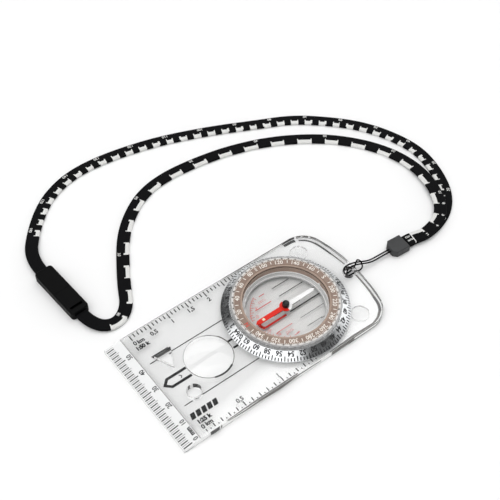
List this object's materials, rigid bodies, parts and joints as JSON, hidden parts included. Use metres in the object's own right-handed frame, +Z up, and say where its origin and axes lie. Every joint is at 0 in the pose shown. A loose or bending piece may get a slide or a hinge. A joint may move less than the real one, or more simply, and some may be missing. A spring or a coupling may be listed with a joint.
{
  "type": "baseplate compass",
  "caption": "Clear baseplate map compass with map scales, magnifier, rotating liquid capsule with mil and degree rings, and a flat neck lanyard with a release buckle.",
  "frame": {"origin": "on the surface the plate lies on, under the middle of the plate, lanyard left out", "axes": "+Y is the direction of travel, towards the ruler edge; +X is east of the dial; +Z is up"},
  "size_m": [0.1639, 0.2, 0.0088],
  "materials": {
    "clear_acrylic": "polished, clear",
    "clear_silicone": "clear",
    "white_nylon": "matte",
    "silver_plastic": "satin silver print",
    "bronze_plastic": "satin bronze",
    "capsule_plastic": "clear, slightly milky",
    "brass_seat": "turned",
    "steel_pin": "polished",
    "red_paint": "satin",
    "white_paint": "satin",
    "luminous_paint": "matte",
    "magnet_steel": "ground",
    "jewel": "polished",
    "black_plastic": "fine satin",
    "grey_plastic": "fine matte",
    "black_cord": "braided",
    "black_webbing": "woven, with printed white distance marks"
  },
  "bodies": {
    "root": {"baseplate": "clear_acrylic", "foot_east": "clear_silicone", "foot_west": "clear_silicone", "friction_washer": "white_nylon", "crimp_bottom": "grey_plastic", "crimp_top": "grey_plastic", "buckle_socket": "black_plastic", "thin_cord": "black_cord", "tape_outer": "black_webbing", "tape_inner": "black_webbing"},
    "dial": {"retaining_ring": "clear_acrylic", "mil_skirt": "silver_plastic", "grip_ring": "clear_acrylic", "degree_ring": "bronze_plastic", "capsule_cup": "capsule_plastic", "fill_plug": "capsule_plastic", "capsule_seal": "clear_silicone", "capsule_lens": "clear_acrylic", "pivot_seat": "brass_seat", "pivot_pin": "steel_pin"},
    "needle": {"needle_north": "red_paint", "needle_south": "white_paint", "luminous_dot": "luminous_paint", "needle_magnet": "magnet_steel", "jewel_cup": "jewel", "hub_cap": "black_plastic"},
    "release_half": {"buckle_plug": "black_plastic"}
  },
  "joints": [
    {"name": "dial_turn", "type": "hinge", "parent": "root", "child": "dial", "pos_m": [0, -0.0183, 0.0031], "axis": [0, 0, 1], "continuous": true},
    {"name": "needle_swing", "type": "hinge", "parent": "dial", "child": "needle", "pos_m": [0, -0.0183, 0.00675], "axis": [0, 0, 1], "continuous": true},
    {"name": "buckle_release", "type": "slide", "parent": "root", "child": "release_half", "axis": [-0.9979, -0.0645, 0], "range_m": [0, 0.01], "deforming": ["tape_inner"]}
  ]
}
